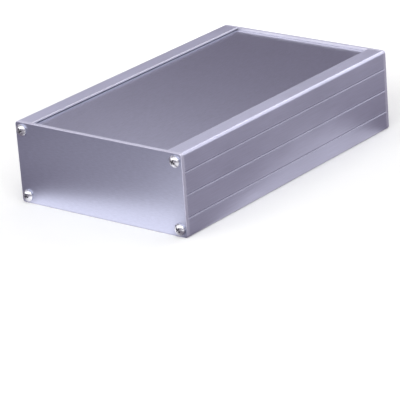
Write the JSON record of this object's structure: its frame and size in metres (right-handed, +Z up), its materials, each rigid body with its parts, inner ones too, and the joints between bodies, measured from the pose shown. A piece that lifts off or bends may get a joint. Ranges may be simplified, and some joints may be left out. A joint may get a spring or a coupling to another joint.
{
  "type": "aluminium enclosure",
  "caption": "Closed instrument case: extruded aluminium side rails hold recessed covers in their grooves, with a screwed flat panel at each end.",
  "frame": {"origin": "centre of the base, at the height of the surface that the case stands on", "axes": "+X across the case to its right side, +Y along it from the front panel to the rear panel, +Z up"},
  "size_m": [0.103, 0.1724, 0.042],
  "materials": {
    "rail_aluminium": "satin clear anodised extrusion",
    "cover_aluminium": "satin clear anodised sheet",
    "panel_aluminium": "satin clear anodised sheet",
    "screw_steel": "bright nickel-plated steel"
  },
  "bodies": {
    "root": {"left_side_rail": "rail_aluminium", "right_side_rail": "rail_aluminium", "top_cover": "cover_aluminium", "bottom_cover": "cover_aluminium", "front_panel": "panel_aluminium", "rear_panel": "panel_aluminium", "front_panel_screws": "screw_steel", "rear_panel_screws": "screw_steel"}
  },
  "joints": []
}
